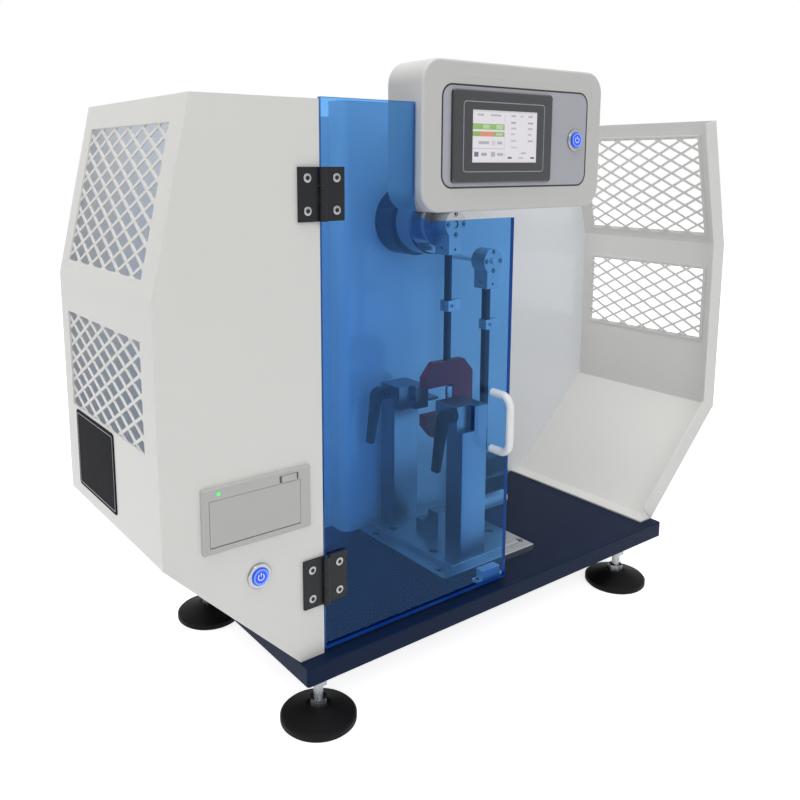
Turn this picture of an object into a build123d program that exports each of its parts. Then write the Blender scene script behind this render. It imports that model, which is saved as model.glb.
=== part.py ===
"""Bench pendulum impact tester: a guarded frame, a pendulum on a ball-bearing spindle, a specimen support
with two clamped jaws, a clear door, a control console on an arm and a thermal printer.

Millimetres. X runs to the right as the user faces the machine, Y runs to its back, Z is up.
The origin is the middle of the footprint on the bench. The pendulum swings about the Y direction."""

import os
from math import atan2, cos, degrees, hypot, radians, sin

from build123d import *

# Base plate and levelling feet
base_length = 574
base_depth = 275
base_thickness = 20
base_underside = 48
base_corner = 3
base_edge_break = 1
foot_left_x = -267
foot_right_x = 208
foot_edge_inset = 13
pad_radius = 39
pad_rim = 9
pad_crown_radius = 13
pad_height = 17
pad_edge = 2
stud_radius = 5
stud_hexagon = 16
stud_hexagon_height = 8
stud_grip = 17
stud_end_gap = 1
lock_nut_hexagon = 17
lock_nut_height = 8

# Sheet-metal guards
guard_half_width = 424
guard_top_inset = 40
guard_half_foot = 286
guard_top = 614
upper_knee = 443
lower_knee = 206
guard_front_margin = 15
guard_rear_margin = 14
sheet = 2
bend_radius = 4
return_flange = 25
foot_flange = 24
door_opening_left = -258

# Windows and their diamond mesh
window_width = 197
window_shift = 4.5
upper_window_height = 136
upper_window_drop = 24
lower_window_height = 101
lower_window_top = 405
mesh_overlap = 5
mesh_rim = 2.5
mesh_thickness = 1.2
diamond_width = 35.8
diamond_height = 18.9
strand = 3.5

# Working pendulum
pivot_x = 11
pivot_z = 482.5
swing_length = 221
hub_front = 12.5
hub_step = 28
hub_rear = 59
hub_nose_radius = 30
hub_radius = 40
hub_edge = 2
spindle_radius = 7.5
spindle_tail_radius = 3
head_radius = 17
head_block_width = 22
head_drop = 37.5
head_thickness = 25
head_screw_circle = 25.5
head_screw_radius = 3.4
head_screw_depth = 5
head_grub_drop = 31
head_grub_radius = 1.6
head_bore_radius = 4.8
head_edge = 0.6
rod_radius = 4.75
rod_seat = 18
collar_drop = 102
collar_height = 13.5
collar_width = 14
collar_depth = 16
collar_tab = 12
collar_tab_thickness = 6
collar_corner = 3
collar_split = 1
collar_overlap = 2
hammer_width = 79
hammer_height = 97
hammer_thickness = 12
hammer_cut_x = 17
hammer_cut_z = 15
hammer_gap_height = 34.5
hammer_gap_wall = 33
hammer_rod_seat = 20
striker_width = 8
striker_nose = 2
striker_height = 28

# Bearings behind the pendulum
boss_radius = 44
boss_bore_gap = 1
boss_edge = 1
bearing_radius = 17.5
bearing_width = 11
encoder_side = 38
encoder_depth = 18
running_gap = 0.05
free_gap = 0.3

# Column
column_half_width = 95
column_depth = 30
column_top = 633
column_corner = 12
column_hole_gap = 2
board_drop = 150
board_width = 100
board_height = 140
board_thickness = 1.6
board_spacer_radius = 3
board_spacer_height = 4.4
board_spacer_inset = 5
board_part_width = 26
board_part_height = 18
board_part_thickness = 5
board_part_spacing = (44, 52)

# Bed, posts and jaws
bed_centre_x = 7
bed_width = 152
bed_front = -90.5
bed_length = 171
bed_thickness = 8
bed_edge = 0.6
platform_width = 115
platform_front = -82.5
platform_length = 161
platform_thickness = 6
bed_screw_radius = 6
bed_screw_depth = 4
bed_screw_inset_x = 9
bed_screw_front_y = -72
bed_screw_rear_y = 54
platform_screw_x = 48
platform_screw_front_y = -38
platform_screw_rear_y = 43
post_width = 41
post_thickness = 28
post_inner_y = 51
post_height = 160
post_edge = 1
jaw_height = 30
jaw_reach = 20
jaw_bore_radius = 3.3
jaw_notch_width = 20
jaw_notch_depth = 9
jaw_edge = 0.8
anvil_x = 7
specimen_thickness = 4
shelf_reach = 18
shelf_length = 24
shelf_thickness = 3
shelf_rise = 8
lever_hub_radius = 8
lever_hub_length = 24
lever_stud_radius = 3
lever_stud_length = 12
lever_arm = 65
lever_arm_top = 12
lever_arm_tip = 8
lever_lean = 8
lever_width = 12
lever_elbow = 12
lever_collar_length = 9
lever_edge = 2
lever_tip_fillet = 3
block_front_y = -16
block_length = 44
block_left_x = -14
block_width = 22
block_height = 34
block_step_height = 14
block_step_y = 12
block_fillet = 8

# Spare pendulum on its peg
spare_x = 119
spare_z = 425.8
spare_front_y = 30
spare_rod_radius = 6
spare_rod_end = 140
spare_collar_z = 338
spare_hammer_width = 75
spare_hammer_height = 50
spare_hammer_thickness = 20
spare_hammer_bottom = 96
spare_hammer_corner = 6
spare_blade_thickness = 4
spare_blade_reach = 6
peg_radius = 4
peg_proud = 3
peg_flange_radius = 10
peg_flange_thickness = 4
rest_radius = 9
rest_length = 58
rest_saddle = 4
rest_lift = 0.5

# Door
door_left = -256
door_right = -1.6
door_bottom = 71.5
door_top = 616
door_thickness = 5
notch_left = -145
notch_bottom = 497
notch_radius = 25
hinge_size = 50
hinge_leaf = 3
hinge_knuckle = 4
hinge_pin_radius = 1.5
hinge_stand_off = 0.4
hinge_web = 5
hinge_upper_z = 528
hinge_lower_z = 148
hinge_screw_radius = 2.2
hinge_screw_x = 16
hinge_screw_z = 15
handle_x = -29
handle_bottom = 236
handle_top = 302
handle_radius = 4.5
handle_reach = 28
handle_bend = 13
switch_right = -2
switch_width = 28
switch_height = 14
switch_depth = 12
switch_set_back = 7.5
switch_ear = 7
switch_ear_thickness = 3
switch_corner = 1.5
switch_hole_radius = 1.6

# Console
console_left = -143.5
console_width = 272
console_bottom = 506.5
console_height = 152.5
console_proud = 9.5
console_depth = 57
console_corner = 24
console_edge = 3
console_wall = 4
faceplate_inset_x = 18
faceplate_inset_z = 16.5
faceplate_corner = 14
faceplate_thickness = 2
bezel_left = -105.8
bezel_bottom = 536
bezel_width = 146.6
bezel_height = 94
bezel_proud = 4
bezel_corner = 4
bezel_edge = 1.2
module_depth = 30
module_margin = 5
screen_left = -79.5
screen_bottom = 557
screen_width = 95.5
screen_height = 53.5
screen_depth = 1.5
screen_sunk = 0.5
arm_width = 40
arm_height = 30
arm_wall = 3
arm_drop = 3

# Push buttons
button_hole_radius = 11
button_flange_radius = 12.5
button_flange = 2.5
button_barrel = 24
button_bore_radius = 9
button_cap_proud = 1.5
button_cap_length = 14
button_floor = 3
button_edge = 0.7
power_shift = 0.5
power_z = 174
release_x = 83
release_z = 582.4

# Printer
printer_margins = (37, 16)
printer_bottom = 210
printer_width = 113
printer_height = 62
printer_proud = 4
printer_depth = 58
printer_wall = 3
printer_lid_left = 7
printer_lid_width = 94
printer_lid_bottom = 6
printer_lid_height = 44
printer_lid_thickness = 3
printer_edge_gap = 0.4
printer_corner = 2
printer_edge = 1
printer_panel_gap = 0.5
lid_pin_radius = 1
lid_pin_reach = 2.5
lid_lap_x = 4
lid_lap_z = 2
roll_radius = 15
roll_length = 56
roll_core = 6
latch_width = 16
latch_height = 6
latch_depth = 4
latch_inset = 4
latch_rise = 1.5
latch_proud = 0.8
latch_slot = 4
latch_corner = 1

# Release solenoid and hook for the raised pendulum
hook_x = 90
hook_z = 554
solenoid_radius = 15
solenoid_front = 45
hook_shaft_radius = 3
hook_thickness = 4
hook_width = 9
hook_side_gap = 1
hook_shaft_seat = 2
nose_size = 9
nose_depth = 7.5
latch_nose_angle = 27.4
hook_open_angle = 28

# Mains inlet at the back
inlet_x = -270
inlet_z = 120
inlet_width = 48
inlet_height = 28
inlet_flange = 3
inlet_depth = 22
inlet_socket_width = 27
inlet_socket_height = 20
inlet_socket_depth = 16
inlet_wall = 2.5
inlet_corner = 3
inlet_panel_gap = 1
contact_spacing = 7
contact_offset = 2
contact_rise = 3
contact_width = 2
contact_height = 4

# Places that follow from the sizes
base_top = base_underside + base_thickness
guard_half_top = guard_half_width - guard_top_inset
guard_front = guard_front_margin - base_depth / 2
foot_y = base_depth / 2 - foot_edge_inset
foot_places = [(x, y) for x in (foot_left_x, foot_right_x) for y in (-foot_y, foot_y)]
guard_rear = base_depth / 2 - guard_rear_margin
guard_depth = guard_rear - guard_front
window_centre_y = (guard_front + guard_rear) / 2 + window_shift
column_front = guard_rear - column_depth
rod_top = pivot_z - head_drop + rod_seat
strike_z = pivot_z - swing_length
hammer_bottom = strike_z - hammer_height / 2
hammer_top = hammer_bottom + hammer_height
bed_top = base_top + bed_thickness
platform_top = bed_top + platform_thickness
post_top = platform_top + post_height
post_centre_x = anvil_x - post_width / 2
post_outer_y = post_inner_y + post_thickness
striker_tip = anvil_x + specimen_thickness
hinge_x = (door_opening_left + door_left) / 2
hinge_y = guard_front - hinge_knuckle - hinge_stand_off
inlet_body_width = inlet_socket_width + 2 * inlet_wall
inlet_body_height = inlet_socket_height + 2 * inlet_wall
contact_length = inlet_socket_depth - inlet_flange
console_front = guard_front - console_proud
console_rear = console_front + console_depth
console_centre_x = console_left + console_width / 2
console_centre_z = console_bottom + console_height / 2
printer_room = guard_half_width + door_opening_left - printer_width
printer_left = printer_room * printer_margins[0] / sum(printer_margins) - guard_half_width
printer_front = guard_front - printer_proud
printer_centre_x = printer_left + printer_width / 2
power_x = printer_centre_x + power_shift
printer_centre_z = printer_bottom + printer_height / 2
printer_mouth_width = printer_width - 2 * printer_wall
printer_mouth_height = printer_height - 2 * printer_wall


def front(y):
    """Plane facing the user at depth y: sketches hold X and Z, negative extrusions run to the back."""
    return Plane.XZ.offset(-y)


def side(x):
    """Plane facing right at x: sketches hold Y and Z."""
    return Plane.YZ.offset(x)


def save(builder, name):
    """Label a finished piece and write it to its own file."""
    builder.part.label = name
    export_step(builder.part, f"parts/{name}.step")


os.makedirs("parts", exist_ok=True)

# Base plate: a solid steel slab with a blind threaded hole over each foot
with BuildPart() as base_plate:
    with BuildSketch(Plane.XY.offset(base_underside)):
        RectangleRounded(base_length, base_depth, base_corner)
    extrude(amount=base_thickness)
    chamfer(base_plate.faces().sort_by(Axis.Z)[-1].edges(), base_edge_break)
    with BuildSketch(Plane.XY.offset(base_underside)):
        with Locations(*foot_places):
            Circle(stud_radius + running_gap)
    extrude(amount=stud_grip, mode=Mode.SUBTRACT)
save(base_plate, "base_plate")

# Levelling feet: moulded rubber pads, each under a steel stud with a hexagon to turn it by
with BuildPart() as foot_pads:
    for foot_x, foot_place_y in foot_places:
        with BuildSketch(Plane(origin=(foot_x, foot_place_y, 0), x_dir=(1, 0, 0), z_dir=(0, -1, 0))):
            with BuildLine():
                Polyline(
                    (0, pad_height), (0, 0), (pad_radius - pad_edge, 0), (pad_radius, pad_edge),
                    (pad_radius, pad_rim - pad_edge), (pad_radius - pad_edge, pad_rim),
                    (pad_crown_radius, pad_height), close=True,
                )
            make_face()
        revolve(axis=Axis((foot_x, foot_place_y, 0), (0, 0, 1)))
save(foot_pads, "foot_pads")

for number, foot_place in enumerate(foot_places, start=1):
    with BuildPart() as foot_stud:
        with BuildSketch(Plane.XY.offset(pad_height)):
            with Locations(foot_place):
                RegularPolygon(stud_hexagon / 2, 6, major_radius=False)
        extrude(amount=stud_hexagon_height)
        with BuildSketch(Plane.XY.offset(pad_height)):
            with Locations(foot_place):
                Circle(stud_radius)
        extrude(amount=base_underside + stud_grip - stud_end_gap - pad_height)
    save(foot_stud, f"foot_stud_{number}")

# Lock nuts against the underside of the base, one on each stud
with BuildPart() as foot_lock_nuts:
    with BuildSketch(Plane.XY.offset(base_underside - lock_nut_height)):
        with Locations(*foot_places):
            RegularPolygon(lock_nut_hexagon / 2, 6, major_radius=False)
            Circle(stud_radius + running_gap, mode=Mode.SUBTRACT)
    extrude(amount=lock_nut_height)
save(foot_lock_nuts, "foot_lock_nuts")


def guard_points(sign):
    """Outer corners of a guard's section from its top edge down to its foot, for either side."""
    return [
        (sign * guard_half_top, guard_top), (sign * guard_half_width, upper_knee),
        (sign * guard_half_width, lower_knee), (sign * guard_half_foot, base_top),
    ]


def facet(sign, distance):
    """Plane on the slanted upper facet of a guard, a distance down the slope, facing out."""
    run = guard_top_inset
    drop = guard_top - upper_knee
    slope = hypot(run, drop)
    x = sign * (guard_half_top + run * distance / slope)
    z = guard_top - drop * distance / slope
    outward = (sign * drop / slope, 0, run / slope)
    return Plane(origin=(x, window_centre_y, z), x_dir=(0, 1, 0), z_dir=outward)


def window_planes(sign):
    """Planes of the upper and the lower window of one guard, each with its window's height."""
    upper = facet(sign, upper_window_drop + upper_window_height / 2)
    centre = (sign * guard_half_width, window_centre_y, lower_window_top - lower_window_height / 2)
    lower = Plane(origin=centre, x_dir=(0, 1, 0), z_dir=(sign, 0, 0))
    return [(upper, upper_window_height), (lower, lower_window_height)]


def build_guard(sign):
    """One bent guard: sides, foot flange and its two windows. The front differs from side to side."""
    outline = guard_points(sign) + [(sign * (guard_half_foot - foot_flange), base_top)]
    inward = Side.RIGHT if sign > 0 else Side.LEFT
    with BuildPart() as guard:
        with BuildSketch(front(guard_front)):
            with BuildLine():
                FilletPolyline(*outline, radius=bend_radius)
                offset(amount=sheet, side=inward)
            make_face()
        extrude(amount=-guard_depth)
        with BuildSketch(front(guard_front)):
            with BuildLine():
                if sign < 0:
                    Polyline(*guard_points(sign), (door_opening_left, base_top),
                             (door_opening_left, guard_top), close=True)
                else:
                    Polyline(*guard_points(sign))
                    offset(amount=return_flange, side=inward, kind=Kind.INTERSECTION)
            make_face()
        extrude(amount=-sheet)
        for window_plane, height in window_planes(sign):
            with BuildSketch(window_plane):
                Rectangle(window_width, height)
            extrude(amount=sheet * 2, both=True, mode=Mode.SUBTRACT)
        if sign < 0:
            with BuildSketch(front(guard_front)):
                with Locations((power_x, power_z)):
                    Circle(button_hole_radius)
                with Locations((printer_centre_x, printer_centre_z)):
                    Rectangle(printer_mouth_width, printer_mouth_height)
            extrude(amount=-sheet, mode=Mode.SUBTRACT)
    return guard


# Diamond meshes behind the windows: rimmed sheets with two staggered grids of diamonds cut through
half_diamond_width = diamond_width / 2 - strand
half_diamond_height = (diamond_height - strand) / 2
for level, level_name in enumerate(("upper", "lower")):
    with BuildPart() as mesh:
        for mesh_sign in (-1, 1):
            window_plane, window_height = window_planes(mesh_sign)[level]
            mesh_width = window_width + 2 * mesh_overlap
            mesh_height = window_height + 2 * mesh_overlap
            columns = int(mesh_width / diamond_width) + 3
            rows = int(mesh_height / diamond_height) + 3
            with BuildSketch(window_plane.offset(-sheet)):
                Rectangle(mesh_width, mesh_height)
                with BuildSketch(mode=Mode.SUBTRACT):
                    for shift in (0, 0.5):
                        with Locations((shift * diamond_width, shift * diamond_height)):
                            with GridLocations(diamond_width, diamond_height, columns, rows):
                                Polygon(
                                    (half_diamond_width, 0), (0, half_diamond_height),
                                    (-half_diamond_width, 0), (0, -half_diamond_height), align=None,
                                )
                    Rectangle(mesh_width - 2 * mesh_rim, mesh_height - 2 * mesh_rim, mode=Mode.INTERSECT)
            extrude(amount=-mesh_thickness)
    save(mesh, f"{level_name}_meshes")

save(build_guard(-1), "left_guard")
save(build_guard(1), "right_guard")

# Back panel: a flat sheet with the guards' full outline, closed against their rear edges
with BuildPart() as back_panel:
    with BuildSketch(front(guard_rear)):
        with BuildLine():
            Polyline(*guard_points(-1), *reversed(guard_points(1)), close=True)
        make_face()
        with Locations((inlet_x, inlet_z)):
            Rectangle(inlet_body_width + inlet_panel_gap, inlet_body_height + inlet_panel_gap,
                      mode=Mode.SUBTRACT)
    extrude(amount=-sheet)
save(back_panel, "back_panel")

# Mains inlet in the back panel, with three flat contacts in its socket
with BuildPart() as mains_inlet:
    with BuildSketch(front(guard_rear + sheet)):
        with Locations((inlet_x, inlet_z)):
            RectangleRounded(inlet_width, inlet_height, inlet_corner)
    extrude(amount=-inlet_flange)
    with BuildSketch(front(guard_rear + sheet)):
        with Locations((inlet_x, inlet_z)):
            RectangleRounded(inlet_body_width, inlet_body_height, inlet_corner)
    extrude(amount=inlet_depth)
    with BuildSketch(front(guard_rear + sheet + inlet_flange)):
        with Locations((inlet_x, inlet_z)):
            RectangleRounded(inlet_socket_width, inlet_socket_height, inlet_corner)
    extrude(amount=inlet_socket_depth, mode=Mode.SUBTRACT)
    with BuildSketch(front(guard_rear + sheet + inlet_flange - inlet_socket_depth)):
        with Locations((inlet_x - contact_spacing, inlet_z - contact_offset),
                       (inlet_x, inlet_z + contact_rise),
                       (inlet_x + contact_spacing, inlet_z - contact_offset)):
            Rectangle(contact_width, contact_height)
    extrude(amount=-contact_length)
save(mains_inlet, "mains_inlet")

# Column: a welded box against the back panel that carries the bearing boss and hides the encoder
with BuildPart() as column_housing:
    with BuildSketch(Plane.XY.offset(base_top)):
        with Locations((pivot_x, guard_rear - column_depth / 2)):
            Rectangle(2 * column_half_width, column_depth)
    extrude(amount=column_top - base_top)
    column_edges = column_housing.edges().filter_by(Axis.Z).group_by(Axis.Y)[0]
    fillet(column_edges, column_corner)
    with BuildSketch(Plane.XY.offset(base_top + sheet)):
        with Locations((pivot_x, guard_rear - column_depth / 2)):
            Rectangle(2 * (column_half_width - column_corner), column_depth - 2 * sheet)
    extrude(amount=column_top - base_top - 2 * sheet, mode=Mode.SUBTRACT)
    with BuildSketch(front(column_front)):
        with Locations((pivot_x, pivot_z)):
            Circle(spindle_radius + column_hole_gap)
    extrude(amount=-sheet, mode=Mode.SUBTRACT)
save(column_housing, "column_housing")


def ring(name, x, z, start_y, end_y, outer, inner):
    """A turned ring or bush about a Y axis at x, z."""
    with BuildPart() as turned:
        with BuildSketch(front(start_y)):
            with Locations((x, z)):
                Circle(outer)
                Circle(inner, mode=Mode.SUBTRACT)
        extrude(amount=start_y - end_y)
    save(turned, name)


# Bearing boss: a turned housing with a seat for a ball bearing at each end
with BuildPart() as bearing_boss:
    with BuildSketch(front(hub_rear)):
        with Locations((pivot_x, pivot_z)):
            Circle(boss_radius)
            Circle(spindle_radius + boss_bore_gap, mode=Mode.SUBTRACT)
    extrude(amount=hub_rear - column_front)
    chamfer(bearing_boss.edges().filter_by(GeomType.CIRCLE).group_by(Axis.Y)[0].sort_by(SortBy.RADIUS)[-1],
            boss_edge)
    for seat_y in (hub_rear, column_front - bearing_width):
        with BuildSketch(front(seat_y)):
            with Locations((pivot_x, pivot_z)):
                Circle(bearing_radius)
        extrude(amount=-bearing_width, mode=Mode.SUBTRACT)
save(bearing_boss, "bearing_boss")

with BuildPart() as spindle_bearings:
    for seat_y in (hub_rear, column_front - bearing_width):
        with BuildSketch(front(seat_y)):
            with Locations((pivot_x, pivot_z)):
                Circle(bearing_radius - running_gap)
                Circle(spindle_radius + running_gap, mode=Mode.SUBTRACT)
        extrude(amount=-bearing_width)
save(spindle_bearings, "spindle_bearings")

# Spindle: runs from the pendulum hub through both bearings to the encoder
with BuildPart() as spindle:
    with BuildSketch(front(hub_front)):
        with Locations((pivot_x, pivot_z)):
            Circle(spindle_radius)
    extrude(amount=hub_front - column_front - sheet - free_gap)
    with BuildSketch(front(hub_front)):
        with Locations((pivot_x, pivot_z)):
            Circle(spindle_tail_radius)
    extrude(amount=hub_front - column_front - sheet - encoder_depth)
save(spindle, "spindle")
ring("rotary_encoder", pivot_x, pivot_z, guard_rear - sheet - encoder_depth, guard_rear - sheet,
     encoder_side / 2, spindle_tail_radius + running_gap)

# Controller board, upright inside the column below the encoder
with BuildPart() as controller_board:
    board_rear = guard_rear - sheet - board_spacer_height
    spacer_width = board_width - 2 * board_spacer_inset
    spacer_height = board_height - 2 * board_spacer_inset
    with BuildSketch(front(board_rear)):
        with Locations((pivot_x, pivot_z - board_drop)):
            Rectangle(board_width, board_height)
    extrude(amount=board_thickness)
    with BuildSketch(front(board_rear)):
        with Locations((pivot_x, pivot_z - board_drop)):
            with GridLocations(spacer_width, spacer_height, 2, 2):
                Circle(board_spacer_radius)
    extrude(amount=-board_spacer_height)
    with BuildSketch(front(board_rear - board_thickness)):
        with Locations((pivot_x, pivot_z - board_drop)):
            with GridLocations(*board_part_spacing, 2, 2):
                Rectangle(board_part_width, board_part_height)
    extrude(amount=board_part_thickness)
save(controller_board, "controller_board")

# Pendulum hub: a stepped steel drum keyed on the spindle
with BuildPart() as pendulum_hub:
    with BuildSketch(front(hub_front)):
        with Locations((pivot_x, pivot_z)):
            Circle(hub_nose_radius)
    extrude(amount=hub_front - hub_step)
    with BuildSketch(front(hub_step)):
        with Locations((pivot_x, pivot_z)):
            Circle(hub_radius)
    extrude(amount=hub_step - hub_rear)
    chamfer(pendulum_hub.edges().filter_by(GeomType.CIRCLE).group_by(Axis.Y)[1].sort_by(SortBy.RADIUS)[-1],
            hub_edge)
    with BuildSketch(front(hub_front)):
        with Locations((pivot_x, pivot_z)):
            Circle(spindle_radius + running_gap)
    extrude(amount=hub_front - hub_rear, mode=Mode.SUBTRACT)
save(pendulum_hub, "pendulum_hub")


def build_head(x, z, front_y, bore_radius, grip_radius):
    """Clamp head of a pendulum: a round eye with four sunk screws over a block that grips the rod."""
    with BuildPart() as head:
        with BuildSketch(front(front_y)):
            with Locations((x, z)):
                Circle(head_radius)
            with Locations((x, z - head_drop / 2)):
                Rectangle(head_block_width, head_drop)
        extrude(amount=-head_thickness)
        chamfer(head.edges().group_by(Axis.Y)[0], head_edge)
        with BuildSketch(front(front_y)):
            with Locations((x, z)):
                Circle(bore_radius)
        extrude(amount=-head_thickness, mode=Mode.SUBTRACT)
        with BuildSketch(front(front_y)):
            with Locations((x, z)):
                with PolarLocations(head_screw_circle / 2, 4):
                    Circle(head_screw_radius)
        extrude(amount=-head_screw_depth, mode=Mode.SUBTRACT)
        with BuildSketch(front(front_y)):
            with Locations((x, z - head_grub_drop)):
                Circle(head_grub_radius)
        extrude(amount=-head_screw_depth, mode=Mode.SUBTRACT)
        with BuildSketch(Plane.XY.offset(z - head_drop)):
            with Locations((x, front_y + head_thickness / 2)):
                Circle(grip_radius + running_gap)
        extrude(amount=rod_seat, mode=Mode.SUBTRACT)
    return head


def rod(name, x, y, bottom, top, radius):
    """A ground round rod, upright at x, y."""
    with BuildPart() as bar:
        with BuildSketch(Plane.XY.offset(bottom)):
            with Locations((x, y)):
                Circle(radius)
        extrude(amount=top - bottom)
    save(bar, name)


def collar(name, x, y, z, radius):
    """A split collar clamped on a rod, with a catch tab on its right."""
    with BuildPart() as clamp:
        with BuildSketch(Plane.XY.offset(z - collar_height / 2)):
            with Locations((x, y)):
                RectangleRounded(collar_width, collar_depth, collar_corner)
            with Locations((x + (collar_width + collar_tab - collar_overlap) / 2, y)):
                Rectangle(collar_tab + collar_overlap, collar_tab_thickness)
            with Locations((x, y)):
                Circle(radius + running_gap, mode=Mode.SUBTRACT)
            with Locations((x - collar_width / 2, y)):
                Rectangle(collar_width, collar_split, mode=Mode.SUBTRACT)
        extrude(amount=collar_height)
    save(clamp, name)


# Working pendulum: head, rod, catch collar and the slotted hammer with its striking edge
save(build_head(pivot_x, pivot_z, -head_thickness / 2, head_bore_radius, rod_radius), "pendulum_head")
rod("pendulum_rod", pivot_x, 0, hammer_top - hammer_rod_seat, rod_top, rod_radius)
collar("catch_collar", pivot_x, 0, pivot_z - collar_drop, rod_radius)

with BuildPart() as hammer:
    with BuildSketch(front(-hammer_thickness / 2)) as hammer_outline:
        with Locations((pivot_x, strike_z)):
            Rectangle(hammer_width, hammer_height)
        chamfer(hammer_outline.vertices(), length=hammer_cut_x, length2=hammer_cut_z)
        with Locations((pivot_x + hammer_width / 2 - hammer_gap_wall, strike_z)):
            Rectangle(hammer_width, hammer_gap_height, align=(Align.MAX, Align.CENTER), mode=Mode.SUBTRACT)
    extrude(amount=-hammer_thickness)
    with BuildSketch(Plane.XY.offset(hammer_top - hammer_rod_seat)):
        with Locations((pivot_x, 0)):
            Circle(rod_radius + running_gap)
    extrude(amount=hammer_rod_seat, mode=Mode.SUBTRACT)
save(hammer, "hammer")

with BuildPart() as striker:
    with BuildSketch(Plane.XY.offset(strike_z - striker_height / 2)) as striker_section:
        with BuildLine():
            seat_x = pivot_x + hammer_width / 2 - hammer_gap_wall
            Polyline(
                (seat_x, -striker_width / 2), (seat_x, striker_width / 2),
                (striker_tip, striker_nose), (striker_tip, -striker_nose), close=True,
            )
        make_face()
    extrude(amount=striker_height)
save(striker, "striker")

# Rotary solenoid on the column, whose shaft carries the hook that holds the raised pendulum
ring("release_solenoid", hook_x, hook_z, solenoid_front, column_front, solenoid_radius,
     hook_shaft_radius + running_gap)

with BuildPart() as release_hook:
    nose_radius = collar_drop
    nose_dx = nose_radius * sin(radians(latch_nose_angle)) + pivot_x - hook_x
    nose_dz = nose_radius * cos(radians(latch_nose_angle)) + pivot_z - hook_z
    closed_angle = degrees(atan2(nose_dz, nose_dx))
    open_angle = closed_angle - hook_open_angle
    arm_length = hypot(nose_dx, nose_dz)
    arm_middle = (hook_x + arm_length / 2 * cos(radians(open_angle)),
                  hook_z + arm_length / 2 * sin(radians(open_angle)))
    nose_place = (hook_x + arm_length * cos(radians(open_angle)),
                  hook_z + arm_length * sin(radians(open_angle)))
    hook_front = head_thickness / 2 + hook_side_gap
    with BuildSketch(front(hook_front)):
        with Locations(Location(arm_middle + (0,), open_angle)):
            SlotCenterToCenter(arm_length, hook_width)
    extrude(amount=-hook_thickness)
    with BuildSketch(front(hook_front)):
        with Locations(nose_place):
            Circle(nose_size / 2)
    extrude(amount=nose_depth)
    with BuildSketch(front(hook_front + hook_thickness)):
        with Locations((hook_x, hook_z)):
            Circle(hook_shaft_radius)
    extrude(amount=hook_front + hook_thickness - column_front + hook_shaft_seat)
save(release_hook, "release_hook")

# Spare pendulum parked on a peg at the right, with a padded rest on the base below it
spare_y = spare_front_y + head_thickness / 2
with BuildPart() as spare_peg:
    peg_front = spare_front_y - peg_proud
    with BuildSketch(front(peg_front)):
        with Locations((spare_x, spare_z)):
            Circle(peg_radius)
    extrude(amount=peg_front - guard_rear)
    with BuildSketch(front(guard_rear)):
        with Locations((spare_x, spare_z)):
            Circle(peg_flange_radius)
    extrude(amount=peg_flange_thickness)
save(spare_peg, "spare_peg")
save(build_head(spare_x, spare_z, spare_front_y, peg_radius + running_gap, spare_rod_radius), "spare_head")
rod("spare_rod", spare_x, spare_y, spare_rod_end - hammer_rod_seat, spare_z - head_drop + rod_seat,
    spare_rod_radius)
collar("spare_collar", spare_x, spare_y, spare_collar_z, spare_rod_radius)

with BuildPart() as spare_hammer:
    spare_hammer_z = spare_hammer_bottom + spare_hammer_height / 2
    with BuildSketch(front(spare_y - spare_hammer_thickness / 2)) as spare_outline:
        with Locations((spare_x, spare_hammer_z)):
            Rectangle(spare_hammer_width, spare_hammer_height)
        chamfer(spare_outline.vertices(), length=spare_hammer_corner)
    extrude(amount=-spare_hammer_thickness)
    with BuildSketch(Plane.XY.offset(spare_rod_end - hammer_rod_seat)):
        with Locations((spare_x, spare_y)):
            Circle(spare_rod_radius + running_gap)
    extrude(amount=spare_hammer_height, mode=Mode.SUBTRACT)
save(spare_hammer, "spare_hammer")

with BuildPart() as spare_blade:
    with BuildSketch(front(spare_y - spare_hammer_thickness / 2)):
        with Locations((spare_x, spare_hammer_z)):
            Rectangle(spare_hammer_width, spare_blade_thickness)
    extrude(amount=spare_blade_reach)
save(spare_blade, "spare_blade")

with BuildPart() as spare_rest:
    with BuildSketch(Plane.XY.offset(base_top)):
        with Locations((spare_x + rest_length / 4, spare_y)):
            Rectangle(rest_length, rest_radius)
    extrude(amount=rest_saddle)
    with BuildSketch(side(spare_x - rest_length / 4)):
        with Locations((spare_y, base_top + rest_radius + rest_lift)):
            Circle(rest_radius)
    extrude(amount=rest_length)
save(spare_rest, "spare_rest")

# Bed plate and the raised platform on it, with sunk screws
with BuildPart() as bed_plate:
    with BuildSketch(Plane.XY.offset(base_top)):
        with Locations((bed_centre_x, bed_front + bed_length / 2)):
            Rectangle(bed_width, bed_length)
    extrude(amount=bed_thickness)
    chamfer(bed_plate.faces().sort_by(Axis.Z)[-1].edges(), bed_edge)
    with BuildSketch(Plane.XY.offset(bed_top)):
        for screw_y in (bed_screw_front_y, bed_screw_rear_y):
            for screw_sign in (-1, 1):
                with Locations((bed_centre_x + screw_sign * (bed_width / 2 - bed_screw_inset_x), screw_y)):
                    Circle(bed_screw_radius)
    extrude(amount=-bed_screw_depth, mode=Mode.SUBTRACT)
save(bed_plate, "bed_plate")

with BuildPart() as platform:
    with BuildSketch(Plane.XY.offset(bed_top)):
        with Locations((bed_centre_x, platform_front + platform_length / 2)):
            Rectangle(platform_width, platform_length)
    extrude(amount=platform_thickness)
    chamfer(platform.faces().sort_by(Axis.Z)[-1].edges(), bed_edge)
    with BuildSketch(Plane.XY.offset(platform_top)):
        for screw_y in (platform_screw_front_y, platform_screw_rear_y):
            for screw_sign in (-1, 1):
                with Locations((bed_centre_x + screw_sign * platform_screw_x, screw_y)):
                    Circle(bed_screw_radius)
    extrude(amount=-bed_screw_depth, mode=Mode.SUBTRACT)
save(platform, "platform")

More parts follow.
